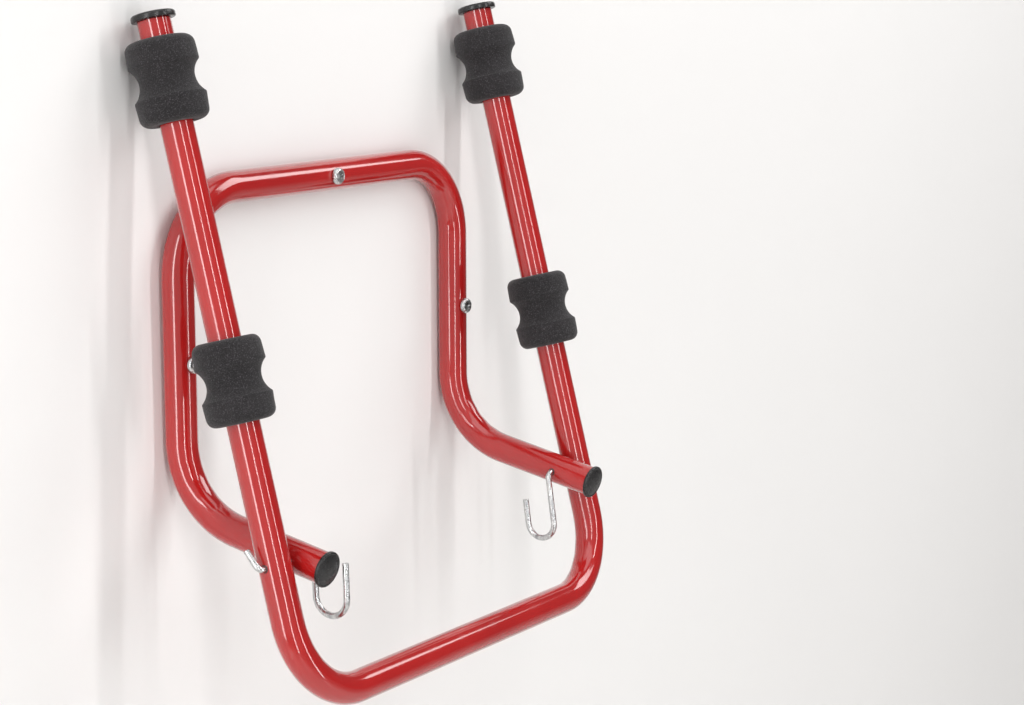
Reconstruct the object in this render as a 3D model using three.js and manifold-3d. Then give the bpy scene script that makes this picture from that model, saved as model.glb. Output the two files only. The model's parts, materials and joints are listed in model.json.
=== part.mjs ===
// Fold-out wall rack for two bicycles, stored position: the arm frame leans back against the wall.
// Millimetres. +X to the right, +Y into the wall, +Z up. The wall surface is the plane y = 0 and the
// origin is on it, on the axis of the top screw.
//
// wall_frame_tube   one tube: an inverted U flat on the wall, whose two legs bend forward to the pivots
// arm_frame_tube    one tube: a U whose crossbar is in front and whose two arms stand outside the legs
// hooks             round rods: the straight run is the pivot pin, the inner end hangs as a J
import * as THREE from 'three';
import { mergeVertices } from 'three/addons/utils/BufferGeometryUtils.js';
import Module from 'manifold-3d';

const wasm = await Module();
wasm.setup();

// ---------------------------------------------------------------- driving dimensions

const TUBE = { diameter: 25, wall: 1.5, sides: 20 };
const TUBE_RADIUS = TUBE.diameter / 2;
const GAP = 0.3; // play between a fitted piece and the one it fits

const WALL_FRAME = {
  legSpacing: 366, // between the legs' centrelines
  cornerRadius: 65.5,
  topToBend: 187, // from the top bar's centreline down to the start of the forward bend
  bendRadius: 66,
  bendAngle: 78,
  bendToPivot: 59.5,
  pivotToEnd: { left: 25, right: 33 },
};

const ARM_FRAME = {
  legGap: 3.5, // clear space between a leg and the arm beside it
  armLength: { left: 406, right: 404.5 }, // from the pivot to the tube's open end
  crossbarDrop: 106.5, // from the pivot to the crossbar's centreline
  cornerRadius: 65,
};

const ARM_CAP = {
  diameter: 33,
  thickness: 5,
  edgeRadius: 2,
  underEdge: 0.6,
  crown: 0.5,
  spigotLength: 18,
  spigotWall: 2.5,
  leadIn: { width: 0.8, length: 2 },
};
const LEG_PLUG = { diameter: 27.8, rim: 2, dome: 2.2, spigotLength: 16, leadIn: { width: 1, length: 2 } };

const PAD = {
  diameter: 53,
  length: 62,
  cornerRadius: 7,
  grooveWidth: 24.5,
  grooveDepth: 5.8,
  // From the pivot to the middle of the pad. The pads are pushed on by hand, so the sides differ.
  places: { left: { lower: 138, upper: 361 }, right: { lower: 138, upper: 357.5 } },
};

const ROD = { diameter: 5, bendRadius: 5, hole: 6.2, sides: 12 };
const HOOKS = {
  left: { loopTo: -1, shank: 32.5, loopRadius: 14.4, tip: 27, swing: -2 },
  right: { loopTo: 1, shank: 43.5, loopRadius: 13, tip: 21, swing: -8 },
};
const HOOK_TAIL = { length: 17.5, lean: 39.5 }; // outer end, leaning back towards the wall

const SCREW = {
  headDiameter: 13.4,
  headHeight: 4.2,
  shankDiameter: 5,
  holeDiameter: 6,
  intoWall: 48,
  legDrop: 128, // from the top screw down to the two leg screws
  recess: { width: 1.3, length: 6.8, depth: 2.4 },
  pointLength: 7,
  // The head's outline as shares of its radius and height.
  headOutline: [[1, 0], [1, 0.36], [0.9, 0.68], [0.66, 0.92], [0.3, 1], [0, 1]],
};
const WALL_PLUG = {
  diameter: 8,
  bore: 5.7,
  length: 50,
  collar: 10.5,
  collarThickness: 1,
  leadIn: { width: 0.6, length: 4 },
};

const ROUND = 24; // sides of a turned piece

// ---------------------------------------------------------------- materials

const material = (color, roughness, metalness = 0) =>
  new THREE.MeshStandardMaterial({ color, roughness, metalness });

const redPaint = material(0xb3252a, 0.22);
const blackFoam = material(0x2e2b2c, 0.95);
const blackPlastic = material(0x222122, 0.38);
const zinc = material(0xc9ccd0, 0.28, 1);
const nylon = material(0xb9bbbd, 0.6);

// ---------------------------------------------------------------- derived places

const radians = THREE.MathUtils.degToRad;
const SIDES = { left: -1, right: 1 };
const X = new THREE.Vector3(1, 0, 0);
const Y = new THREE.Vector3(0, 1, 0);

const legX = WALL_FRAME.legSpacing / 2;
const armX = legX + TUBE.diameter + ARM_FRAME.legGap;

const bend = radians(WALL_FRAME.bendAngle);
const pivot = new THREE.Vector3(
  0,
  -TUBE_RADIUS - WALL_FRAME.bendRadius * (1 - Math.cos(bend)) - WALL_FRAME.bendToPivot * Math.sin(bend),
  -WALL_FRAME.topToBend - WALL_FRAME.bendRadius * Math.sin(bend) - WALL_FRAME.bendToPivot * Math.cos(bend),
);

// The arms lean back until the top corner of the highest pad touches the wall.
const highestPad = Math.max(PAD.places.left.upper, PAD.places.right.upper);
const cornerHeight = highestPad + PAD.length / 2 - PAD.cornerRadius;
const cornerOffset = PAD.diameter / 2 - PAD.cornerRadius;
const wallDistance = -pivot.y - PAD.cornerRadius;
const lean =
  Math.asin(wallDistance / Math.hypot(cornerHeight, cornerOffset)) - Math.atan2(cornerOffset, cornerHeight);

// ---------------------------------------------------------------- shape helpers

// A line of straights and round bends, made the way a bending machine makes it.
class BentLine extends THREE.Curve {
  constructor(start, heading) {
    super();
    this.points = [start.clone()];
    this.headings = [heading.clone().normalize()];
  }

  forward(length) {
    const heading = this.headings.at(-1);
    this.points.push(this.points.at(-1).clone().addScaledVector(heading, length));
    this.headings.push(heading.clone());
    return this;
  }

  bend(axis, radius, degrees, steps) {
    const heading = this.headings.at(-1).clone();
    const inward = axis.clone().cross(heading);
    const centre = this.points.at(-1).clone().addScaledVector(inward, radius);
    for (let step = 1; step <= steps; step += 1) {
      const angle = radians(degrees) * (step / steps);
      const spoke = inward.clone().applyAxisAngle(axis, angle).multiplyScalar(-radius);
      this.points.push(centre.clone().add(spoke));
      this.headings.push(heading.clone().applyAxisAngle(axis, angle));
    }
    return this;
  }

  get steps() {
    return this.points.length - 1;
  }

  getPoint(t) {
    return this.points[Math.round(t * this.steps)].clone();
  }

  getTangent(t) {
    return this.headings[Math.round(t * this.steps)].clone();
  }

  // One ring of the extrusion at each station, however far apart the stations are.
  getUtoTmapping(u) {
    return u;
  }
}

// A regular polygon whose flats touch the circle of the given radius.
function flatsOnCircle(radius, sides) {
  const cornerRadius = radius / Math.cos(Math.PI / sides);
  return Array.from({ length: sides }, (_, side) => {
    const angle = ((side + 0.5) * 2 * Math.PI) / sides;
    return new THREE.Vector2(cornerRadius * Math.cos(angle), cornerRadius * Math.sin(angle));
  });
}

function sweep(line, radius, sides, innerRadius = 0) {
  const section = new THREE.Shape(flatsOnCircle(radius, sides));
  if (innerRadius > 0) {
    section.holes.push(new THREE.Path(flatsOnCircle(innerRadius, sides)));
  }
  return new THREE.ExtrudeGeometry(section, { steps: line.steps, extrudePath: line });
}

// Points of a quarter or half round in the (radius, height) plane of a turned profile.
function arcPoints(centreR, centreH, radius, fromDegrees, toDegrees, steps) {
  return Array.from({ length: steps + 1 }, (_, step) => {
    const angle = radians(fromDegrees + ((toDegrees - fromDegrees) * step) / steps);
    return new THREE.Vector2(centreR + radius * Math.cos(angle), centreH + radius * Math.sin(angle));
  });
}

// A turned piece whose axis is +Z, from a profile that is closed by its first point.
function turned(profile, sides = ROUND) {
  const geometry = new THREE.LatheGeometry([...profile, profile[0].clone()], sides);
  return geometry.rotateX(Math.PI / 2);
}

function rod(radius, length, sides = ROUND) {
  return new THREE.CylinderGeometry(radius, radius, length, sides).rotateX(Math.PI / 2);
}

function toSolid(geometry) {
  const bare = geometry.clone();
  bare.deleteAttribute('normal');
  bare.deleteAttribute('uv');
  const merged = mergeVertices(bare, 1e-4);
  return new wasm.Manifold(
    new wasm.Mesh({
      numProp: 3,
      vertProperties: Float32Array.from(merged.attributes.position.array),
      triVerts: Uint32Array.from(merged.index.array),
    }),
  );
}

function cut(body, ...tools) {
  const mesh = tools.reduce((solid, tool) => solid.subtract(toSolid(tool)), toSolid(body)).getMesh();
  const geometry = new THREE.BufferGeometry();
  geometry.setAttribute('position', new THREE.BufferAttribute(mesh.vertProperties, 3));
  geometry.setIndex(new THREE.BufferAttribute(mesh.triVerts, 1));
  geometry.computeVertexNormals();
  return geometry;
}

const rack = new THREE.Group();

function addMesh(parent, name, geometry, finish) {
  const mesh = new THREE.Mesh(geometry, finish);
  mesh.name = name;
  parent.add(mesh);
  return mesh;
}

// ---------------------------------------------------------------- wall frame

function pivotHole(x, y, z) {
  return rod(ROD.hole / 2, 2 * TUBE.diameter).rotateY(Math.PI / 2).translate(x, y, z);
}

function screwHole(x, z) {
  return rod(SCREW.holeDiameter / 2, 2 * TUBE.diameter).rotateX(Math.PI / 2).translate(x, -TUBE_RADIUS, z);
}

const screwPlaces = {
  top: [0, 0],
  leg_left: [-legX, -SCREW.legDrop],
  leg_right: [legX, -SCREW.legDrop],
};

const backwardUp = new THREE.Vector3(0, Math.sin(bend), Math.cos(bend));

function legEnd(side) {
  const place = new THREE.Vector3(SIDES[side] * legX, pivot.y, pivot.z);
  return place.addScaledVector(backwardUp, -WALL_FRAME.pivotToEnd[side]);
}

function wallFrameTube() {
  const { cornerRadius, topToBend, bendRadius, bendAngle, bendToPivot } = WALL_FRAME;
  const { pivotToEnd, legSpacing } = WALL_FRAME;
  const line = new BentLine(legEnd('left'), backwardUp)
    .forward(pivotToEnd.left + bendToPivot)
    .bend(X, bendRadius, bendAngle, 7)
    .forward(topToBend - cornerRadius)
    .bend(Y, cornerRadius, 90, 8)
    .forward(legSpacing - 2 * cornerRadius)
    .bend(Y, cornerRadius, 90, 8)
    .forward(topToBend - cornerRadius)
    .bend(X.clone().negate(), bendRadius, bendAngle, 7)
    .forward(pivotToEnd.right + bendToPivot);
  const tube = sweep(line, TUBE_RADIUS, TUBE.sides, TUBE_RADIUS - TUBE.wall);
  const holes = Object.values(screwPlaces).map(([x, z]) => screwHole(x, z));
  return cut(tube, ...holes, pivotHole(-legX, pivot.y, pivot.z), pivotHole(legX, pivot.y, pivot.z));
}

// A domed end plug: a head the size of the tube and a spigot inside it. Its axis is +Z, out of the tube.
function legPlug() {
  const { diameter, rim, dome, spigotLength, leadIn } = LEG_PLUG;
  const radius = diameter / 2;
  const spigot = TUBE_RADIUS - TUBE.wall - GAP;
  const crown = [1, 0.8, 0.55, 0.28, 0].map(
    (share) => new THREE.Vector2(radius * share, GAP + rim + dome * Math.sqrt(1 - share * share)),
  );
  return turned([
    new THREE.Vector2(0, -spigotLength),
    new THREE.Vector2(spigot - leadIn.width, -spigotLength),
    new THREE.Vector2(spigot, -spigotLength + leadIn.length),
    new THREE.Vector2(spigot, GAP),
    new THREE.Vector2(radius, GAP),
    ...crown,
  ]);
}

// A pan-head screw whose axis is +Z, with its head on top and the underside of the head at z = 0.
function screw() {
  const { headDiameter, headHeight, headOutline, shankDiameter, intoWall, pointLength, recess } = SCREW;
  const headRadius = headDiameter / 2;
  const shankRadius = shankDiameter / 2;
  const shankLength = TUBE.diameter + GAP + intoWall;
  const body = turned([
    new THREE.Vector2(0, -shankLength),
    new THREE.Vector2(shankRadius, -shankLength + pointLength),
    new THREE.Vector2(shankRadius, 0),
    ...headOutline.map(([across, up]) => new THREE.Vector2(headRadius * across, headHeight * up)),
  ]);
  const slot = (turn) =>
    new THREE.BoxGeometry(recess.length, recess.width, 2 * recess.depth)
      .translate(0, 0, headHeight)
      .rotateZ(turn);
  return cut(body, slot(0), slot(Math.PI / 2));
}

// A nylon sleeve with a thin collar, its axis +Z pointing out of the wall and its collar at z = 0.
function wallPlug() {
  const { diameter, bore, length, collar, collarThickness, leadIn } = WALL_PLUG;
  return turned([
    new THREE.Vector2(bore / 2, -length),
    new THREE.Vector2(diameter / 2 - leadIn.width, -length),
    new THREE.Vector2(diameter / 2, -length + leadIn.length),
    new THREE.Vector2(diameter / 2, -collarThickness),
    new THREE.Vector2(collar / 2, -collarThickness),
    new THREE.Vector2(collar / 2, 0),
    new THREE.Vector2(bore / 2, 0),
  ]);
}

addMesh(rack, 'wall_frame_tube', wallFrameTube(), redPaint);

for (const side of Object.keys(SIDES)) {
  const plug = addMesh(rack, `leg_plug_${side}`, legPlug(), blackPlastic);
  plug.position.copy(legEnd(side));
  plug.rotation.x = Math.PI - bend;
}

for (const [name, [x, z]] of Object.entries(screwPlaces)) {
  const fastener = addMesh(rack, `${name}_screw`, screw(), zinc);
  fastener.position.set(x, -TUBE.diameter - GAP, z);
  fastener.rotation.x = Math.PI / 2;
  const sleeve = addMesh(rack, `${name}_wall_plug`, wallPlug(), nylon);
  sleeve.position.set(x, GAP, z);
  sleeve.rotation.x = Math.PI / 2;
}

// ---------------------------------------------------------------- arm frame

// In the arm frame's own axes the pivot is the origin and the arms run along +Z.
const armFrame = new THREE.Group();
armFrame.position.copy(pivot);
armFrame.rotation.x = -lean;
rack.add(armFrame);

function armFrameTube() {
  const { armLength, crossbarDrop, cornerRadius } = ARM_FRAME;
  const belowPivot = crossbarDrop - cornerRadius;
  const line = new BentLine(new THREE.Vector3(-armX, 0, armLength.left), new THREE.Vector3(0, 0, -1))
    .forward(armLength.left + belowPivot)
    .bend(Y.clone().negate(), cornerRadius, 90, 8)
    .forward(2 * (armX - cornerRadius))
    .bend(Y.clone().negate(), cornerRadius, 90, 8)
    .forward(armLength.right + belowPivot);
  const tube = sweep(line, TUBE_RADIUS, TUBE.sides, TUBE_RADIUS - TUBE.wall);
  return cut(tube, pivotHole(-armX, 0, 0), pivotHole(armX, 0, 0));
}

// A flanged disc on the arm's open end, with a hollow spigot inside the tube. Its axis is +Z.
function armCap() {
  const { diameter, thickness, edgeRadius, underEdge, crown, spigotLength, spigotWall, leadIn } = ARM_CAP;
  const radius = diameter / 2;
  const spigot = TUBE_RADIUS - TUBE.wall - GAP;
  const top = GAP + thickness;
  return turned([
    new THREE.Vector2(0, GAP),
    new THREE.Vector2(spigot - spigotWall, GAP),
    new THREE.Vector2(spigot - spigotWall, -spigotLength),
    new THREE.Vector2(spigot - leadIn.width, -spigotLength),
    new THREE.Vector2(spigot, -spigotLength + leadIn.length),
    new THREE.Vector2(spigot, GAP),
    new THREE.Vector2(radius - underEdge, GAP),
    new THREE.Vector2(radius, GAP + underEdge),
    ...arcPoints(radius - edgeRadius, top - edgeRadius, edgeRadius, 0, 90, 3),
    new THREE.Vector2(0, top + crown),
  ]);
}

// A foam spool on the arm, with rounded corners and a round groove about its middle.
function pad() {
  const { diameter, length, cornerRadius, grooveWidth, grooveDepth } = PAD;
  const radius = diameter / 2;
  const bore = TUBE_RADIUS / Math.cos(Math.PI / TUBE.sides) + GAP;
  const boreCorner = bore / Math.cos(Math.PI / ROUND);
  const half = length / 2;
  const corner = half - cornerRadius;
  const grooveRadius = ((grooveWidth / 2) ** 2 + grooveDepth ** 2) / (2 * grooveDepth);
  const grooveCentre = radius - grooveDepth + grooveRadius;
  const lip = THREE.MathUtils.radToDeg(Math.asin(grooveWidth / 2 / grooveRadius));
  return turned([
    new THREE.Vector2(boreCorner, -half),
    ...arcPoints(radius - cornerRadius, -corner, cornerRadius, -90, 0, 3),
    ...arcPoints(grooveCentre, 0, grooveRadius, 180 + lip, 180 - lip, 7),
    ...arcPoints(radius - cornerRadius, corner, cornerRadius, 0, 90, 3),
    new THREE.Vector2(boreCorner, half),
  ]);
}

addMesh(armFrame, 'arm_frame_tube', armFrameTube(), redPaint);

for (const [side, sign] of Object.entries(SIDES)) {
  const cap = addMesh(armFrame, `arm_cap_${side}`, armCap(), blackPlastic);
  cap.position.set(sign * armX, 0, ARM_FRAME.armLength[side]);
  for (const [level, height] of Object.entries(PAD.places[side])) {
    const cushion = addMesh(armFrame, `pad_${level}_${side}`, pad(), blackFoam);
    cushion.position.set(sign * armX, 0, height);
    // A flat of the pad's groove faces squarely back, which is up when the arm is folded out.
    cushion.rotation.z = Math.PI / ROUND;
  }
}

// ---------------------------------------------------------------- hooks

// Drawn for the left side, in axes at the middle of the leg on the pivot line: the tail outside the
// arm, the pin through arm and leg along +X, and the J down beside the leg's inner side.
function hook({ loopTo, shank, loopRadius, tip, swing }) {
  const { bendRadius } = ROD;
  const outerFace = -(TUBE_RADIUS + ARM_FRAME.legGap + TUBE.diameter);
  const pinStart = outerFace - 0.8;
  const tailLean = radians(HOOK_TAIL.lean + swing);
  const outward = new THREE.Vector3(0, Math.sin(tailLean), Math.cos(tailLean));
  const tailAxis = X.clone().cross(outward);
  const tailTop = new THREE.Vector3(pinStart - bendRadius, 0, 0).addScaledVector(outward, HOOK_TAIL.length);
  const line = new BentLine(tailTop, outward.clone().negate())
    .forward(HOOK_TAIL.length - bendRadius)
    .bend(tailAxis, bendRadius, 90, 4)
    .forward(-pinStart + TUBE_RADIUS + 0.8)
    .bend(Y, bendRadius, 90, 4)
    .forward(shank - bendRadius)
    .bend(X.clone().multiplyScalar(loopTo), loopRadius, 180, 12)
    .forward(tip);
  const geometry = sweep(line, ROD.diameter / 2, ROD.sides);
  return geometry.rotateX(radians(swing));
}

// The same shape reflected left to right, with its faces still pointing out.
function mirrored(geometry) {
  const flipped = geometry.clone().scale(-1, 1, 1);
  const corners = flipped.attributes.position.array;
  for (let triangle = 0; triangle < corners.length; triangle += 9) {
    for (let axis = 0; axis < 3; axis += 1) {
      const second = triangle + 3 + axis;
      const third = triangle + 6 + axis;
      [corners[second], corners[third]] = [corners[third], corners[second]];
    }
  }
  flipped.computeVertexNormals();
  return flipped;
}

for (const [side, sign] of Object.entries(SIDES)) {
  const shape = hook(HOOKS[side]);
  const mesh = addMesh(rack, `hook_${side}`, sign < 0 ? shape : mirrored(shape), zinc);
  mesh.position.set(sign * legX, pivot.y, pivot.z);
}

export default rack;
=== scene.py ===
"""The look of a folding wall rack for bicycles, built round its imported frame.

Metres, +Z up, +Y into the wall.
"""

import json
import math

import bmesh
import bpy
from mathutils import Matrix, Vector, noise


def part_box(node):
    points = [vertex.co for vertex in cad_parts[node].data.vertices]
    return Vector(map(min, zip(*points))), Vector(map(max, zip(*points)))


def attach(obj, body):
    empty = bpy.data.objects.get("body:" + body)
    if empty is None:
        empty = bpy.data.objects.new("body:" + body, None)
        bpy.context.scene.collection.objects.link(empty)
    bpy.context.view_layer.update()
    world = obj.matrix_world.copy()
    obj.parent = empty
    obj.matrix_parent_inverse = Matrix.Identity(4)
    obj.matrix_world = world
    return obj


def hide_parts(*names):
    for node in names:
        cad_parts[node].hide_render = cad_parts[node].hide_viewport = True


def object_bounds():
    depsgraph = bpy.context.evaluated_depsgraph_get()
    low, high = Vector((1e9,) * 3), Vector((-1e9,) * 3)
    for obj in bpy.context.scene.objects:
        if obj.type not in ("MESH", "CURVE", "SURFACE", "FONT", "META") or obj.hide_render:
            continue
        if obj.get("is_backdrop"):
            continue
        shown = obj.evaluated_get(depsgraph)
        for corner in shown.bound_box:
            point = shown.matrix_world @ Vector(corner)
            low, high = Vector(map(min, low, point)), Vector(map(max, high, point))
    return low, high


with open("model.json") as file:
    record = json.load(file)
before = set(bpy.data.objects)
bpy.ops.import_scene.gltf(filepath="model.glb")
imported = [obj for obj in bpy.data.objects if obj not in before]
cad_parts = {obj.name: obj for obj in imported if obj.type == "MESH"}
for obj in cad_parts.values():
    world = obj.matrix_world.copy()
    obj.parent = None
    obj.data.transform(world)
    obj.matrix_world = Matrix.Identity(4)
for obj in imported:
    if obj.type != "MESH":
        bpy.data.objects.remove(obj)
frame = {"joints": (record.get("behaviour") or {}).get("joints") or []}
cad_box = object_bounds()

MM = 0.001
SIDES = {"left": -1, "right": 1}
X, Y, Z = Vector((1, 0, 0)), Vector((0, 1, 0)), Vector((0, 0, 1))

# ---------------------------------------------------------------- driving dimensions, in metres

TUBE_RADIUS = 12.5 * MM
TUBE_SQUEEZE = 0.05  # how far the inner side of a bend is flattened, as a share of the radius
TUBE_RIPPLE = 0.012
GAP = 0.3 * MM
LEG_BEND = {"radius": 66 * MM, "angle": math.radians(78), "to_pivot": 59.5 * MM}
LEG_TOP_TO_BEND = 187 * MM
LEG_PAST_PIVOT = {"left": 25 * MM, "right": 33 * MM}
LEG_CORNER = 65.5 * MM
ARM_CORNER = 65 * MM
ARM_DROP = 106.5 * MM
ARM_LENGTH = {"left": 406 * MM, "right": 404.5 * MM}
PAD_PLACES = {"left": {"lower": 0.138, "upper": 0.361}, "right": {"lower": 0.138, "upper": 0.3575}}
PAD = {
    "radius": 26.5 * MM,
    "length": 62 * MM,
    "corner": 7 * MM,
    "groove": 24.5 * MM,
    "depth": 5.8 * MM,
    "swell": 0.5 * MM,
}
SPIGOT = {"radius": 10.7 * MM, "lead": 2 * MM}
PLUG = {"radius": 13.9 * MM, "spigot": 16 * MM, "rim": 1.3 * MM, "dome": 1.55 * MM, "dome_from": 2.9 * MM}
CAP = {
    "radius": 16.5 * MM,
    "spigot": 18 * MM,
    "edge": 2 * MM,
    "under": 0.9 * MM,
    "top": 5.3 * MM,
    "dome": 0.45 * MM,
}
ROD_RADIUS = 2.5 * MM
ROD_BEND = 5 * MM
ROD_STEP = 1.5 * MM  # between the points along a rod's straight runs
PIN_PLAY = 0.8 * MM
HOOKS = {
    "left": {"loop_to": -1, "shank": 32.5 * MM, "loop": 14.4 * MM, "tip": 27 * MM, "swing": -2},
    "right": {"loop_to": 1, "shank": 43.5 * MM, "loop": 13 * MM, "tip": 21 * MM, "swing": -8},
}
TAIL = {"length": 17.5 * MM, "lean": 39.5}
SCREW = {"drop": 128 * MM, "shank": 2.5 * MM, "length": 73.3 * MM, "head": 6.7 * MM, "height": 4.2 * MM}
THREAD = {"turns": 30, "pitch": 1.3 * MM, "core": 0.78}
WALL_PLUG = {"bore": 2.85 * MM, "length": 50 * MM, "collar": 5.25 * MM, "rib": 3.98 * MM, "pitch": 3.6 * MM}
# Rings of painted shade round each pin, standing for the shaded gap of a drilled hole in the undrilled
# tubes.
PIN_SHADE_RING = {"inner": 2.45 * MM, "width": 0.75 * MM, "lift": 0.1 * MM, "sink": 0.13 * MM}

# ---------------------------------------------------------------- places, from the frame

JOINTS = {j["name"]: j for j in frame["joints"]}
PIVOT = Vector(JOINTS["arm_fold"]["pos_m"])
LEG_X = JOINTS["hook_right_swing"]["pos_m"][0]
ARM_X = (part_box("arm_cap_right")[0].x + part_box("arm_cap_right")[1].x) / 2
BACKWARD_UP = Vector((0, math.sin(LEG_BEND["angle"]), math.cos(LEG_BEND["angle"])))
pad_box = {n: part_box(n) for n in ("pad_lower_left", "pad_upper_left")}
pad_middle = {n: (low + high) / 2 for n, (low, high) in pad_box.items()}
ARM_UP = (pad_middle["pad_upper_left"] - pad_middle["pad_lower_left"]).normalized()
ARM_BACK = ARM_UP.cross(X)


def on_arm(side, height):
    """The arm's centreline at a height above the pivot, measured along the arm."""
    return Vector((SIDES[side] * ARM_X, 0, 0)) + PIVOT + ARM_UP * height


def leg_end(side):
    """The middle of the leg's open end."""
    return Vector((SIDES[side] * LEG_X, PIVOT.y, PIVOT.z)) - BACKWARD_UP * LEG_PAST_PIVOT[side]


# ---------------------------------------------------------------- mesh helpers


class BentLine:
    """Straights and round bends, kept as points, headings and the side that each point bends to."""

    def __init__(self, start, heading):
        self.points = [start.copy()]
        self.headings = [heading.normalized()]
        self.inward = [Vector()]

    def forward(self, length, step=0.004):
        count = max(1, round(length / step))
        for _ in range(count):
            self.points.append(self.points[-1] + self.headings[-1] * (length / count))
            self.headings.append(self.headings[-1].copy())
            self.inward.append(Vector())
        return self

    def bend(self, axis, radius, angle, steps=36):
        heading, start = self.headings[-1].copy(), self.points[-1].copy()
        inward = axis.cross(heading)
        centre = start + inward * radius
        for step in range(1, steps + 1):
            turn = Matrix.Rotation(angle * step / steps, 3, axis)
            self.points.append(centre - turn @ inward * radius)
            self.headings.append(turn @ heading)
            self.inward.append(turn @ inward * math.sin(math.pi * step / steps))
        return self


def sweep(line, radius, sides=48, squeeze=0.0, ripple=0.0):
    """A closed round skin along the line. The inner side of each bend is a little flattened and rippled."""
    mesh = bmesh.new()
    across = line.headings[0].orthogonal().normalized()
    rings = []
    last = line.headings[0]
    for index, (point, heading) in enumerate(zip(line.points, line.headings)):
        across = last.rotation_difference(heading) @ across
        last = heading
        up = heading.cross(across)
        bent = line.inward[index]
        ring = []
        for side in range(sides):
            angle = 2 * math.pi * side / sides
            out = across * math.cos(angle) + up * math.sin(angle)
            inner = max(0.0, out.dot(bent))
            wave = math.sin(index * 0.9) * math.sin(angle * 2 + 0.7)
            reach = radius * (1 - squeeze * inner**2 + ripple * inner * wave)
            ring.append(mesh.verts.new(point + out * reach))
        rings.append(ring)
    for one, two in zip(rings, rings[1:]):
        for side in range(sides):
            after = (side + 1) % sides
            mesh.faces.new((one[side], one[after], two[after], two[side]))
    mesh.faces.new(reversed(rings[0]))
    mesh.faces.new(rings[-1])
    return mesh


def lathe(profile, sides=96):
    """A turned skin about +Z from (radius, height) points. A radius of 0 closes it."""
    mesh = bmesh.new()
    rings = []
    for radius, height in profile:
        if radius < 1e-7:
            rings.append([mesh.verts.new((0, 0, height))] * sides)
        else:
            ring = []
            for side in range(sides):
                angle = 2 * math.pi * side / sides
                ring.append(mesh.verts.new((radius * math.cos(angle), radius * math.sin(angle), height)))
            rings.append(ring)
    for one, two in zip(rings, rings[1:]):
        for side in range(sides):
            after = (side + 1) % sides
            corners = list(dict.fromkeys((one[side], one[after], two[after], two[side])))
            if len(corners) > 2:
                mesh.faces.new(corners)
    return mesh


def arc(centre, radius, start, stop, steps):
    """Points of a round in the (radius, height) plane, angles in degrees."""
    angles = (math.radians(start + (stop - start) * step / steps) for step in range(steps + 1))
    return [(centre[0] + radius * math.cos(a), centre[1] + radius * math.sin(a)) for a in angles]


def piece(name, mesh, body, node, material, crease=35):
    """Turns a bmesh into a piece that stands for one CAD node."""
    bmesh.ops.recalc_face_normals(mesh, faces=mesh.faces)
    data = bpy.data.meshes.new(name)
    mesh.to_mesh(data)
    mesh.free()
    data.materials.append(material)
    made = bpy.data.objects.new(name, data)
    bpy.context.scene.collection.objects.link(made)
    data.polygons.foreach_set("use_smooth", [True] * len(data.polygons))
    for edge in sharp_edges(data, math.radians(crease)):
        edge.use_edge_sharp = True
    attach(made, body)
    if node:
        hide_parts(node)
    return made


def sharp_edges(data, limit):
    """The edges whose two faces meet at more than the limit."""
    faces_of = {}
    for polygon in data.polygons:
        for key in polygon.edge_keys:
            faces_of.setdefault(key, []).append(polygon.normal)
    for edge in data.edges:
        normals = faces_of.get(tuple(sorted(edge.vertices)), [])
        if len(normals) == 2 and normals[0].angle(normals[1], 0) > limit:
            yield edge


def place(mesh, origin, axis, spin=0.0):
    """Moves a mesh that was made about +Z to stand at origin along axis."""
    turn = Z.rotation_difference(axis).to_matrix().to_4x4()
    mesh.transform(Matrix.Translation(origin) @ turn @ Matrix.Rotation(spin, 4, "Z"))
    return mesh


# ---------------------------------------------------------------- material helpers


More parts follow.
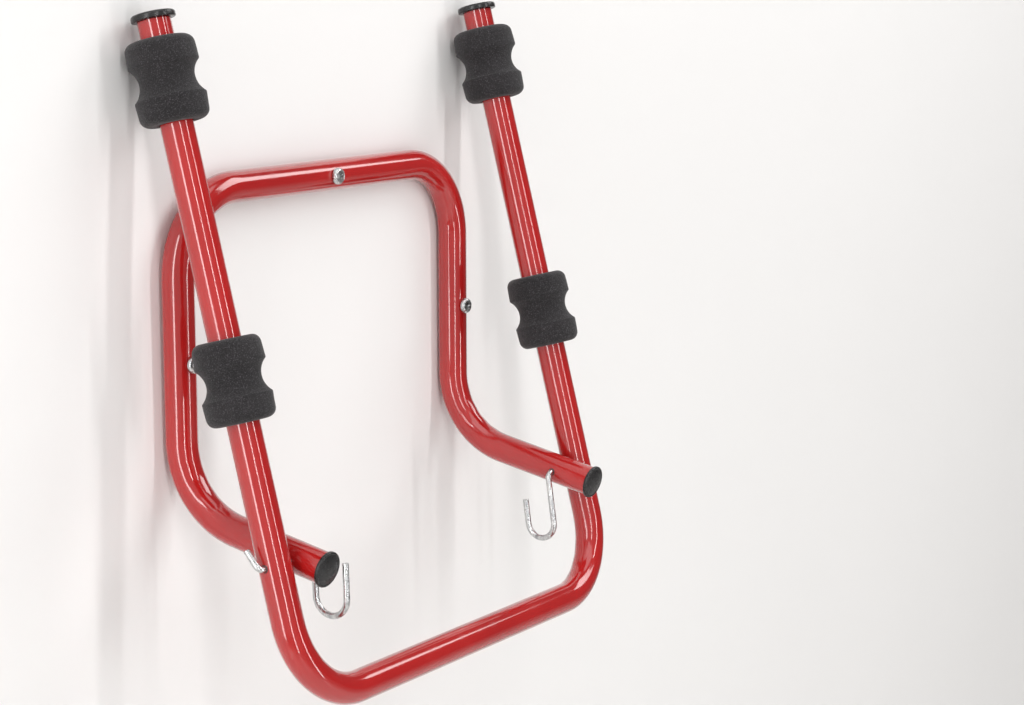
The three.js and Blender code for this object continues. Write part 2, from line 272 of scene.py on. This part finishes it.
class Nodes:
    """Short names for the node calls that every material uses."""

    def __init__(self, name):
        self.material = bpy.data.materials.new(name)
        self.material.use_nodes = True
        self.tree = self.material.node_tree
        self.shader = self.tree.nodes["Principled BSDF"]
        self.where = self.add("ShaderNodeTexCoord").outputs["Object"]

    def add(self, kind, **values):
        node = self.tree.nodes.new(kind)
        for key, value in values.items():
            setattr(node, key, value)
        return node

    def link(self, source, target):
        self.tree.links.new(source, target)

    def noise(self, scale, detail=4, roughness=0.55, stretch=None):
        node = self.add("ShaderNodeTexNoise")
        node.inputs["Scale"].default_value = scale
        node.inputs["Detail"].default_value = detail
        node.inputs["Roughness"].default_value = roughness
        self.link(self.stretched(stretch), node.inputs["Vector"])
        return node.outputs["Fac"]

    def cells(self, scale, feature="F1", output="Distance"):
        node = self.add("ShaderNodeTexVoronoi", feature=feature)
        node.inputs["Scale"].default_value = scale
        self.link(self.where, node.inputs["Vector"])
        return node.outputs[output]

    def stretched(self, scale):
        if scale is None:
            return self.where
        node = self.add("ShaderNodeMapping")
        node.inputs["Scale"].default_value = scale
        self.link(self.where, node.inputs["Vector"])
        return node.outputs["Vector"]

    def remap(self, value, low, high, to_low=0.0, to_high=1.0):
        node = self.add("ShaderNodeMapRange")
        self.link(value, node.inputs["Value"])
        node.inputs["From Min"].default_value = low
        node.inputs["From Max"].default_value = high
        node.inputs["To Min"].default_value = to_low
        node.inputs["To Max"].default_value = to_high
        return node.outputs["Result"]

    def times(self, one, two):
        node = self.add("ShaderNodeMath", operation="MULTIPLY")
        for socket, value in zip(node.inputs, (one, two)):
            if isinstance(value, (int, float)):
                socket.default_value = value
            else:
                self.link(value, socket)
        return node.outputs["Value"]

    def mix(self, share, first, second):
        node = self.add("ShaderNodeMix", data_type="RGBA")
        self.link(share, node.inputs[0])
        for socket, colour in ((node.inputs[6], first), (node.inputs[7], second)):
            if isinstance(colour, tuple):
                socket.default_value = (*colour, 1)
            else:
                self.link(colour, socket)
        return node.outputs[2]

    def bump(self, height, strength, distance, under=None):
        node = self.add("ShaderNodeBump")
        node.inputs["Strength"].default_value = strength
        node.inputs["Distance"].default_value = distance
        self.link(height, node.inputs["Height"])
        if under is not None:
            self.link(under, node.inputs["Normal"])
        return node.outputs["Normal"]

    def finish(self, colour=None, roughness=None, normal=None, **constants):
        for value, socket in ((colour, "Base Color"), (roughness, "Roughness"), (normal, "Normal")):
            if value is not None:
                self.link(value, self.shader.inputs[socket])
        for name, value in constants.items():
            self.shader.inputs[name.replace("_", " ")].default_value = value
        return self.material


def red_paint():
    """Glossy powder paint: cloudy colour, orange peel, soft scuffs, and chips where two noises peak."""
    n = Nodes("red_paint")
    clouds = n.remap(n.noise(9, 3), 0.35, 0.7)
    colour = n.mix(clouds, (0.335, 0.0085, 0.0085), (0.395, 0.012, 0.0115))
    chips = n.remap(n.noise(170, 6, 0.62), 0.74, 0.765)
    where = n.remap(n.noise(14, 2), 0.56, 0.66)
    chipped = n.times(chips, where)
    colour = n.mix(chipped, colour, (0.62, 0.44, 0.40))
    peel = n.bump(n.noise(420, 2), 0.05, 0.00010)
    dents = n.bump(n.noise(30, 2), 0.02, 0.0006, under=peel)
    scuffs = n.remap(n.noise(60, 8, 0.7, (1, 1, 0.25)), 0.52, 0.75, 0.12, 0.30)
    n.finish(colour, scuffs, dents, Coat_Weight=0.7, Coat_Roughness=0.03, IOR=1.5)
    return n.material


def black_foam():
    """Closed-cell foam: fine pores darkened in colour as painted shade in their pits, pale specks and slow
    patches of shade.
    """
    n = Nodes("black_foam")
    pores = n.cells(1100)
    shade = n.remap(n.noise(22, 3), 0.35, 0.7)
    colour = n.mix(shade, (0.010, 0.009, 0.0095), (0.016, 0.0145, 0.0152))
    specks = n.remap(n.noise(1150, 2, 0.7), 0.52, 0.74)
    colour = n.mix(n.times(specks, 0.6), colour, (0.125, 0.112, 0.125))
    # Painted shade: the colour darkens towards the middle of each pore, where the bump below sinks a pit.
    colour = n.mix(n.remap(pores, 0.0, 0.35, 0.75, 0.0), colour, (0.005, 0.0045, 0.005))
    grain = n.bump(pores, 0.55, 0.0004)
    normal = n.bump(n.noise(130, 4), 0.35, 0.0009, under=grain)
    rough = n.remap(n.noise(300, 2), 0.3, 0.7, 0.82, 0.96)
    n.finish(colour, rough, normal, Sheen_Weight=0.12, Sheen_Roughness=0.5, IOR=1.35)
    return n.material


def black_plastic():
    """Moulded polythene: satin, very fine texture and handling marks."""
    n = Nodes("black_plastic")
    shade = n.remap(n.noise(60, 3), 0.35, 0.7)
    colour = n.mix(shade, (0.010, 0.0095, 0.010), (0.018, 0.017, 0.0175))
    marks = n.remap(n.noise(900, 5, 0.7, (1, 0.2, 1)), 0.62, 0.75)
    colour = n.mix(n.times(marks, 0.35), colour, (0.10, 0.10, 0.105))
    rough = n.remap(n.noise(140, 4), 0.3, 0.7, 0.20, 0.34)
    normal = n.bump(n.noise(1800, 2), 0.1, 0.0001)
    n.finish(colour, rough, n.bump(n.noise(180, 2), 0.06, 0.0004, under=normal), IOR=1.45)
    return n.material


def zinc(name, streak):
    """Bright zinc plate: drawn streaks along the rod, a blue-grey bloom and small dull spots."""
    n = Nodes(name)
    streaks = n.noise(500, 4, 0.6, streak)
    colour = n.mix(n.remap(streaks, 0.35, 0.68), (0.40, 0.41, 0.42), (0.72, 0.72, 0.71))
    bloom = n.remap(n.noise(90, 4), 0.46, 0.72)
    colour = n.mix(n.times(bloom, 0.4), colour, (0.30, 0.315, 0.335))
    rough = n.remap(n.noise(200, 4), 0.3, 0.72, 0.18, 0.36)
    normal = n.bump(streaks, 0.08, 0.0001)
    n.finish(colour, rough, n.bump(n.noise(90, 2), 0.05, 0.0004, under=normal), Metallic=1.0)
    return n.material


def nylon():
    """Grey moulded nylon with faint flow lines."""
    n = Nodes("nylon")
    shade = n.remap(n.noise(70, 3, 0.5, (1, 0.2, 1)), 0.35, 0.7)
    colour = n.mix(shade, (0.44, 0.45, 0.46), (0.56, 0.57, 0.58))
    rough = n.remap(n.noise(300, 3), 0.3, 0.7, 0.42, 0.6)
    n.finish(colour, rough, n.bump(n.noise(500, 3), 0.2, 0.0003), Subsurface_Weight=0.1)
    n.shader.inputs["Subsurface Scale"].default_value = 0.002
    return n.material


def painted_hole_shade():
    """Painted shade: a near-black ring that stands for the shadowed gap between a pin and the bare rim of
    its drilled hole.
    """
    n = Nodes("pin_shade_ring")
    colour = n.mix(n.remap(n.noise(900, 3), 0.4, 0.7), (0.020, 0.010, 0.010), (0.060, 0.028, 0.026))
    n.finish(colour, n.remap(n.noise(500, 2), 0.3, 0.7, 0.4, 0.7), n.bump(n.noise(1200, 2), 0.3, 0.0002))
    return n.material


# The last of these is painted shade for the gaps round the pins.
RED, FOAM, PLASTIC, NYLON, HOLE_SHADE = red_paint(), black_foam(), black_plastic(), nylon(), painted_hole_shade()
ZINC = zinc("zinc_rod", (1, 1, 0.12))
ZINC_HEAD = zinc("zinc_head", (1, 1, 1))

# ---------------------------------------------------------------- tubes


def wall_frame():
    """An inverted U flat on the wall, its legs bent forward and down at their feet."""
    line = BentLine(leg_end("left"), BACKWARD_UP)
    line.forward(LEG_PAST_PIVOT["left"] + LEG_BEND["to_pivot"])
    line.bend(X, LEG_BEND["radius"], LEG_BEND["angle"])
    line.forward(LEG_TOP_TO_BEND - LEG_CORNER)
    line.bend(Y, LEG_CORNER, math.pi / 2)
    line.forward(2 * (LEG_X - LEG_CORNER))
    line.bend(Y, LEG_CORNER, math.pi / 2)
    line.forward(LEG_TOP_TO_BEND - LEG_CORNER)
    line.bend(-X, LEG_BEND["radius"], LEG_BEND["angle"])
    line.forward(LEG_PAST_PIVOT["right"] + LEG_BEND["to_pivot"])
    mesh = sweep(line, TUBE_RADIUS, squeeze=TUBE_SQUEEZE, ripple=TUBE_RIPPLE)
    piece("wall_frame", mesh, "wall_frame", "wall_frame_tube", RED)


def arm_frame():
    """A U whose arms stand outside the legs, with its crossbar in front of them."""
    below = ARM_DROP - ARM_CORNER
    line = BentLine(on_arm("left", ARM_LENGTH["left"]), -ARM_UP)
    line.forward(ARM_LENGTH["left"] + below)
    line.bend(-ARM_BACK, ARM_CORNER, math.pi / 2)
    line.forward(2 * (ARM_X - ARM_CORNER))
    line.bend(-ARM_BACK, ARM_CORNER, math.pi / 2)
    line.forward(ARM_LENGTH["right"] + below)
    mesh = sweep(line, TUBE_RADIUS, squeeze=TUBE_SQUEEZE, ripple=TUBE_RIPPLE)
    piece("arm_frame", mesh, "arm_frame", "arm_frame_tube", RED)


def pin_shade_ring(middle, face, along, rings=4, sides=48):
    """A thin ring of painted shade that follows the tube's surface round the pin and sinks into it at its
    outer edge.
    """
    mesh = bmesh.new()
    across = X.cross(along)
    loops = []
    for ring in range(rings + 1):
        radius = PIN_SHADE_RING["inner"] + PIN_SHADE_RING["width"] * ring / rings
        lift = PIN_SHADE_RING["lift"] - PIN_SHADE_RING["sink"] * (ring / rings) ** 2
        loop = []
        for side in range(sides):
            angle = 2 * math.pi * side / sides
            up, over = radius * math.cos(angle), radius * math.sin(angle)
            reach = math.sqrt(TUBE_RADIUS**2 - over**2) + lift
            spot = Vector((middle + face * reach, PIVOT.y, PIVOT.z)) + along * up + across * over
            loop.append(mesh.verts.new(spot))
        loops.append(loop)
    for one, two in zip(loops, loops[1:]):
        for side in range(sides):
            after = (side + 1) % sides
            mesh.faces.new((one[side], one[after], two[after], two[side]))
    return mesh


def pin_shade_rings():
    """Rings of painted shade where each pin enters and leaves the arm and the leg; the tubes under them are
    not drilled.
    """
    tubes = (("arm_frame", ARM_X, ARM_UP), ("wall_frame", LEG_X, BACKWARD_UP))
    for side, sign in SIDES.items():
        for body, spread, along in tubes:
            for face in (-1, 1):
                where = "outer" if face == sign else "inner"
                # Each ring is painted shade, named after the hole it stands for.
                mesh = pin_shade_ring(sign * spread, face, along)
                piece(f"{body}_hole_{side}_{where}", mesh, body, None, HOLE_SHADE)


# ---------------------------------------------------------------- end pieces and pads


def dome(radius, foot, rise, steps):
    """Points from just inside the radius to the middle, rising as a shallow dome."""
    shares = [1 - step / steps for step in range(1, steps + 1)]
    return [(radius * share, foot + rise * (1 - share**2)) for share in shares]


def leg_plug(side):
    """A domed disc on a spigot that fills the tube, with a fine parting line round its rim."""
    radius, spigot, rim = PLUG["radius"], SPIGOT["radius"], PLUG["rim"]
    profile = [(0, -PLUG["spigot"]), (spigot - 1 * MM, -PLUG["spigot"])]
    profile += [(spigot, SPIGOT["lead"] - PLUG["spigot"]), (spigot, GAP)]
    profile += [(radius - GAP, GAP), (radius, 2 * GAP), (radius, 1.3 * MM)]
    profile += [(radius - 0.12 * MM, 1.42 * MM), (radius, 1.55 * MM)]
    profile += arc((radius - rim, 1.8 * MM), rim, 0, 105, 10)
    profile.append((radius - 1.9 * MM, PLUG["dome_from"]))
    profile += dome(radius - 2.2 * MM, PLUG["dome_from"], PLUG["dome"], 14)
    mesh = place(lathe(profile), leg_end(side), -BACKWARD_UP)
    name = f"leg_plug_{side}"
    piece(f"{name}_moulded", mesh, "wall_frame", name, PLASTIC)


def arm_cap(side):
    """A thick flanged disc with rounded edges, a slightly raised top and a hollow spigot."""
    radius, spigot, edge, under = CAP["radius"], SPIGOT["radius"], CAP["edge"], CAP["under"]
    bore, foot = spigot - 2.5 * MM, -CAP["spigot"]
    profile = [(0, GAP), (bore, GAP), (bore, foot), (spigot - 0.8 * MM, foot)]
    profile += [(spigot, foot + SPIGOT["lead"]), (spigot, GAP)]
    profile += arc((radius - under, GAP + under), under, -90, 0, 6)
    profile += arc((radius - edge, CAP["top"] - edge), edge, 0, 90, 9)
    profile += dome(radius - edge, CAP["top"], CAP["dome"], 10)
    mesh = place(lathe(profile), on_arm(side, ARM_LENGTH[side]), ARM_UP)
    name = f"arm_cap_{side}"
    piece(f"{name}_moulded", mesh, "arm_frame", name, PLASTIC)


def pad_profile():
    """The outline from an end face to the middle: soft corner, swelling lobe, sharp lip, groove."""
    radius, half = PAD["radius"], PAD["length"] / 2
    corner, lip = PAD["corner"], PAD["groove"] / 2
    bore = TUBE_RADIUS + 0.25 * MM
    groove = (lip**2 + PAD["depth"] ** 2) / (2 * PAD["depth"])
    slope = math.degrees(math.asin(lip / groove))
    swell = PAD["swell"]
    points = [(bore, half - 3 * MM), (bore + 0.1 * MM, half - 0.7 * MM), (bore + 0.9 * MM, half)]
    points += [(bore + 3 * MM, half + 0.1 * MM), (radius - corner - 1.5 * MM, half)]
    points += arc((radius - corner - swell, half - corner), corner, 88, 4, 14)
    run = half - corner - lip
    for step in range(1, 11):
        share = step / 10
        points.append((radius - swell * (1 - share) ** 1.5, half - corner - (run - 0.5 * MM) * share))
    points.append((radius - 0.12 * MM, lip + 0.22 * MM))
    centre = radius - PAD["depth"] + groove
    points += [
        (centre - groove * math.cos(math.radians(a)), groove * math.sin(math.radians(a)))
        for a in (slope * (0.985 - step * 0.985 / 14) for step in range(15))
    ]
    return points


def pad(level, side):
    """A foam spool with a groove for a bicycle's tube. Soft foam, so no two swell alike."""
    half = pad_profile()
    profile = half + [(radius, -height) for radius, height in reversed(half[:-1])]
    mesh = lathe(profile, sides=128)
    seed = Vector((7.3 * SIDES[side], 3.1 if level == "upper" else 8.7, 0))
    for vert in mesh.verts:
        radial = Vector((vert.co.x, vert.co.y, 0))
        if radial.length > 14 * MM:
            slow = noise.noise(vert.co * 55 + seed) * 0.28 * MM
            fine = noise.noise(vert.co * 260 + seed) * 0.07 * MM
            vert.co += radial.normalized() * (slow + fine - 0.12 * MM)
            vert.co.z += noise.noise(vert.co * 60 - seed) * 0.15 * MM
    place(mesh, on_arm(side, PAD_PLACES[side][level]), ARM_UP)
    name = f"pad_{level}_{side}"
    made = piece(f"{name}_foam", mesh, "arm_frame", name, FOAM, crease=50)


# ---------------------------------------------------------------- hooks and fastenings


def hook(side):
    """A bent rod: the tail outside the arm, the pin through arm and leg, the J inside."""
    shape = HOOKS[side]
    swing = math.radians(shape["swing"])
    tail_lean = math.radians(TAIL["lean"]) + swing
    outward = Vector((0, math.sin(tail_lean), math.cos(tail_lean)))
    pin_start = -(TUBE_RADIUS + ARM_X - LEG_X) - PIN_PLAY
    top = Vector((pin_start - ROD_BEND, 0, 0)) + outward * TAIL["length"]
    line = BentLine(top, -outward)
    line.forward(TAIL["length"] - ROD_BEND, ROD_STEP)
    line.bend(X.cross(outward), ROD_BEND, math.pi / 2, 14)
    line.forward(-pin_start + TUBE_RADIUS + PIN_PLAY, ROD_STEP)
    line.bend(Y, ROD_BEND, math.pi / 2, 14)
    line.forward(shape["shank"] - ROD_BEND, ROD_STEP)
    line.bend(X * shape["loop_to"], shape["loop"], math.pi, 44)
    line.forward(shape["tip"], ROD_STEP)
    mesh = sweep(line, ROD_RADIUS, sides=28)
    ends = [e for e in mesh.edges if e.calc_face_angle(0) > math.radians(60)]
    bmesh.ops.bevel(mesh, geom=ends, offset=0.45 * MM, segments=3, profile=0.6, affect="EDGES")
    for vert in mesh.verts:
        vert.co += vert.normal * noise.noise(vert.co * 90) * 0.05 * MM
    mesh.transform(Matrix.Rotation(swing, 4, "X"))
    if SIDES[side] > 0:
        mesh.transform(Matrix.Scale(-1, 4, X))
    mesh.transform(Matrix.Translation((SIDES[side] * LEG_X, PIVOT.y, PIVOT.z)))
    piece(f"hook_{side}_rod", mesh, f"hook_{side}", f"hook_{side}", ZINC)


def screw_profile():
    """Tip, thread, plain shank, and a pan head whose crown is a shallow curve."""
    shank, foot, core = SCREW["shank"], -SCREW["length"], SCREW["shank"] * THREAD["core"]
    profile = [(0, foot), (0.5 * MM, foot + 1.2 * MM), (shank * 0.8, foot + 6 * MM)]
    for turn in range(THREAD["turns"]):
        height = foot + 7 * MM + turn * THREAD["pitch"]
        profile += [(core, height), (shank, height + 0.45 * MM), (core, height + 0.9 * MM)]
    plain = shank * 0.96
    profile += [(plain, -26 * MM), (plain, -0.4 * MM), (shank + 0.5 * MM, 0), (6.3 * MM, 0)]
    profile += arc((6.35 * MM, 0.35 * MM), 0.35 * MM, -90, 0, 4)
    profile += arc((SCREW["head"] - 2.6 * MM, 1.45 * MM), 2.6 * MM, 4, 68, 9)
    for radius in (4.3, 3.6, 2.8, 2.0, 1.2, 0.6):
        profile.append((radius * MM, SCREW["height"] - 0.03 * radius**2 * MM))
    profile.append((0, SCREW["height"]))
    return profile


def loose_object(name, mesh):
    """An object for a bmesh, with its faces turned outwards."""
    bmesh.ops.recalc_face_normals(mesh, faces=mesh.faces)
    data = bpy.data.meshes.new(name)
    mesh.to_mesh(data)
    mesh.free()
    made = bpy.data.objects.new(name, data)
    bpy.context.scene.collection.objects.link(made)
    return made


def cross_cutter():
    """The driver's tapered cross, reaching down from above the head."""
    mesh = bmesh.new()
    levels = ((4.8, 3.5, 0.72), (1.9, 1.0, 0.42))  # height, half length, half width
    for turn in (0, math.pi / 2):
        corners = []
        for height, half_length, half_width in levels:
            for along, across in ((-1, -1), (1, -1), (1, 1), (-1, 1)):
                corner = Vector((along * half_length, across * half_width, height)) * MM
                corners.append(mesh.verts.new(Matrix.Rotation(turn, 3, "Z") @ corner))
        top, bottom = corners[:4], corners[4:]
        mesh.faces.new(top)
        mesh.faces.new(reversed(bottom))
        for i in range(4):
            mesh.faces.new((top[i], bottom[i], bottom[(i + 1) % 4], top[(i + 1) % 4]))
    return mesh


def screw(name, x, z, spin):
    """A pan-head screw with a threaded shank, its cross recess cut by the driver's shape."""
    body = loose_object(name, lathe(screw_profile(), sides=72))
    driver = loose_object(f"{name}_driver", cross_cutter())
    cut = body.modifiers.new("recess", "BOOLEAN")
    cut.operation = "DIFFERENCE"
    cut.solver = "EXACT"
    cut.object = driver
    cut.use_self = True
    mesh = bmesh.new()
    mesh.from_object(body, bpy.context.evaluated_depsgraph_get())
    bpy.data.objects.remove(body)
    bpy.data.objects.remove(driver)
    place(mesh, Vector((x, -2 * TUBE_RADIUS - GAP, z)), -Y, spin)
    piece(f"{name}_turned", mesh, "wall_frame", name, ZINC_HEAD, crease=28)


def wall_plug(name, x, z):
    """A ribbed sleeve with a thin collar, set into the wall."""
    bore, foot, collar, rib = WALL_PLUG["bore"], -WALL_PLUG["length"], WALL_PLUG["collar"], WALL_PLUG["rib"]
    profile = [(bore, foot), (3.3 * MM, foot), (3.5 * MM, foot + 0.4 * MM)]
    for turn in range(12):
        height = foot + 3 * MM + turn * WALL_PLUG["pitch"]
        profile += [(3.45 * MM, height), (rib, height + 1.9 * MM), (rib, height + 2.6 * MM)]
    profile += [(3.7 * MM, -1.2 * MM), (collar - 0.25 * MM, -1 * MM), (collar, -0.75 * MM)]
    profile += [(collar, -0.2 * MM), (collar - 0.2 * MM, 0), (bore + 0.25 * MM, 0)]
    profile += [(bore, -0.3 * MM), (bore, foot)]
    mesh = place(lathe(profile, sides=48), Vector((x, GAP, z)), -Y)
    piece(f"{name}_ribbed", mesh, "wall_frame", name, NYLON, crease=25)


# ---------------------------------------------------------------- the object

wall_frame()
arm_frame()
# Painted shade round the pins, where the tubes are not drilled.
pin_shade_rings()
for side in SIDES:
    leg_plug(side)
    arm_cap(side)
    hook(side)
    for level in PAD_PLACES[side]:
        pad(level, side)
# Across, up and the turn at which each screw was left.
screw_places = {
    "top": (0, 0, 0.5),
    "leg_left": (-LEG_X, -SCREW["drop"], 1.2),
    "leg_right": (LEG_X, -SCREW["drop"], 0.2),
}
for name, (x, z, spin) in screw_places.items():
    screw(f"{name}_screw", x, z, spin)
    wall_plug(f"{name}_wall_plug", x, z)

# ---------------------------------------------------------------- stage, light and camera


FLOOR_Z = -1.7
WALL_Y = 0.1 * MM
ROOM = {"half_width": 6, "height": 4, "depth": 7}
LIGHT_TARGET = Vector((0, -0.07, -0.1))
# Azimuth, elevation, distance, width, height and watts. Azimuth 0 is straight in front of the object
# and positive turns to its right. The narrow ones give the long highlights along the tubes.
LIGHTS = {
    "window_left": (-84, 8, 2.6, 0.40, 3.2, 34),
    "strip_front": (-34, 8, 2.8, 0.11, 3.4, 26),
    "strip_right": (14, 8, 2.8, 0.12, 3.4, 26),
    "key": (52, 38, 3.0, 1.5, 1.5, 36),
    "top": (-30, 70, 2.6, 2.4, 1.8, 20),
}
CAMERA = {"place": (-1.53783, -1.18462, 0.17125), "yaw": 57.18, "pitch": 9.34, "roll": -0.13, "lens": 83.79}


def stage_plane(name, corners, colour, roughness):
    """A one-sided surface: from behind it is clear, so it never hides the object."""
    mesh = bmesh.new()
    mesh.faces.new([mesh.verts.new(corner) for corner in corners])
    data = bpy.data.meshes.new(name)
    mesh.to_mesh(data)
    mesh.free()
    made = bpy.data.objects.new(name, data)
    bpy.context.scene.collection.objects.link(made)
    n = Nodes(name)
    darker = tuple(channel * 0.97 for channel in colour)
    shade = n.mix(n.remap(n.noise(0.8, 3), 0.3, 0.7), darker, colour)
    rough = n.remap(n.noise(30, 3), 0.3, 0.7, roughness, roughness + 0.1)
    n.finish(shade, rough, n.bump(n.noise(45, 5), 0.1, 0.001))
    clear = n.add("ShaderNodeBsdfTransparent")
    choose = n.add("ShaderNodeMixShader")
    n.link(n.add("ShaderNodeNewGeometry").outputs["Backfacing"], choose.inputs["Fac"])
    n.link(n.shader.outputs["BSDF"], choose.inputs[1])
    n.link(clear.outputs["BSDF"], choose.inputs[2])
    n.link(choose.outputs["Shader"], n.tree.nodes["Material Output"].inputs["Surface"])
    data.materials.append(n.material)
    made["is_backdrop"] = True


def stage():
    """A plain wall that the rack is screwed to, and a floor well below it."""
    left, right, top, front = -ROOM["half_width"], ROOM["half_width"], ROOM["height"], -ROOM["depth"]
    wall = [(left, WALL_Y, FLOOR_Z), (right, WALL_Y, FLOOR_Z), (right, WALL_Y, top), (left, WALL_Y, top)]
    floor = [(left, WALL_Y, FLOOR_Z), (left, front, FLOOR_Z), (right, front, FLOOR_Z)]
    floor.append((right, WALL_Y, FLOOR_Z))
    stage_plane("wall", wall, (0.80, 0.79, 0.78), 0.6)
    stage_plane("floor", floor, (0.78, 0.77, 0.75), 0.55)


def area_light(name, azimuth, elevation, distance, width, height, watts):
    """A soft box aimed at the object."""
    turn, lift = math.radians(azimuth), math.radians(elevation)
    back = Vector((math.sin(turn) * math.cos(lift), -math.cos(turn) * math.cos(lift), math.sin(lift)))
    light = bpy.data.lights.new(name, "AREA")
    light.shape = "RECTANGLE"
    light.size = width
    light.size_y = height
    light.energy = watts
    made = bpy.data.objects.new(name, light)
    made.location = LIGHT_TARGET + back * distance
    made.rotation_mode = "QUATERNION"
    made.rotation_quaternion = back.to_track_quat("Z", "Y")
    bpy.context.scene.collection.objects.link(made)


def room_light():
    """Grey light from all round, brighter from the left than from the darker right."""
    world = bpy.data.worlds.new("studio")
    bpy.context.scene.world = world
    world.use_nodes = True
    tree = world.node_tree
    where = tree.nodes.new("ShaderNodeTexCoord").outputs["Generated"]
    split = tree.nodes.new("ShaderNodeSeparateXYZ")
    tree.links.new(where, split.inputs["Vector"])
    ramp = tree.nodes.new("ShaderNodeMapRange")
    tree.links.new(split.outputs["X"], ramp.inputs["Value"])
    ramp.inputs["From Min"].default_value = -0.55
    ramp.inputs["From Max"].default_value = 0.45
    mix = tree.nodes.new("ShaderNodeMix")
    mix.data_type = "RGBA"
    tree.links.new(ramp.outputs["Result"], mix.inputs[0])
    mix.inputs[6].default_value = (0.62, 0.62, 0.62, 1)
    mix.inputs[7].default_value = (0.13, 0.12, 0.12, 1)
    tree.links.new(mix.outputs[2], tree.nodes["Background"].inputs["Color"])


def camera():
    """Front left and a little above."""
    yaw, pitch, roll = (math.radians(CAMERA[turn]) for turn in ("yaw", "pitch", "roll"))
    level = Vector((math.sin(yaw), math.cos(yaw), 0))
    forward = level * math.cos(pitch) - Z * math.sin(pitch)
    flat_right = Vector((math.cos(yaw), -math.sin(yaw), 0))
    flat_up = flat_right.cross(forward)
    right = flat_right * math.cos(roll) + flat_up * math.sin(roll)
    up = flat_up * math.cos(roll) - flat_right * math.sin(roll)
    data = bpy.data.cameras.new("camera")
    data.sensor_width = 36
    data.lens = CAMERA["lens"]
    made = bpy.data.objects.new("camera", data)
    turned = Matrix((right, up, -forward)).transposed().to_4x4()
    made.matrix_world = Matrix.Translation(CAMERA["place"]) @ turned
    bpy.context.scene.collection.objects.link(made)
    bpy.context.scene.camera = made


stage()
room_light()
for name, numbers in LIGHTS.items():
    area_light(name, *numbers)
camera()
bpy.context.scene.view_settings.view_transform = "Standard"

boxes = {"cad": cad_box, "visual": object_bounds()}
{name: [list(corner) for corner in box] for name, box in boxes.items()}
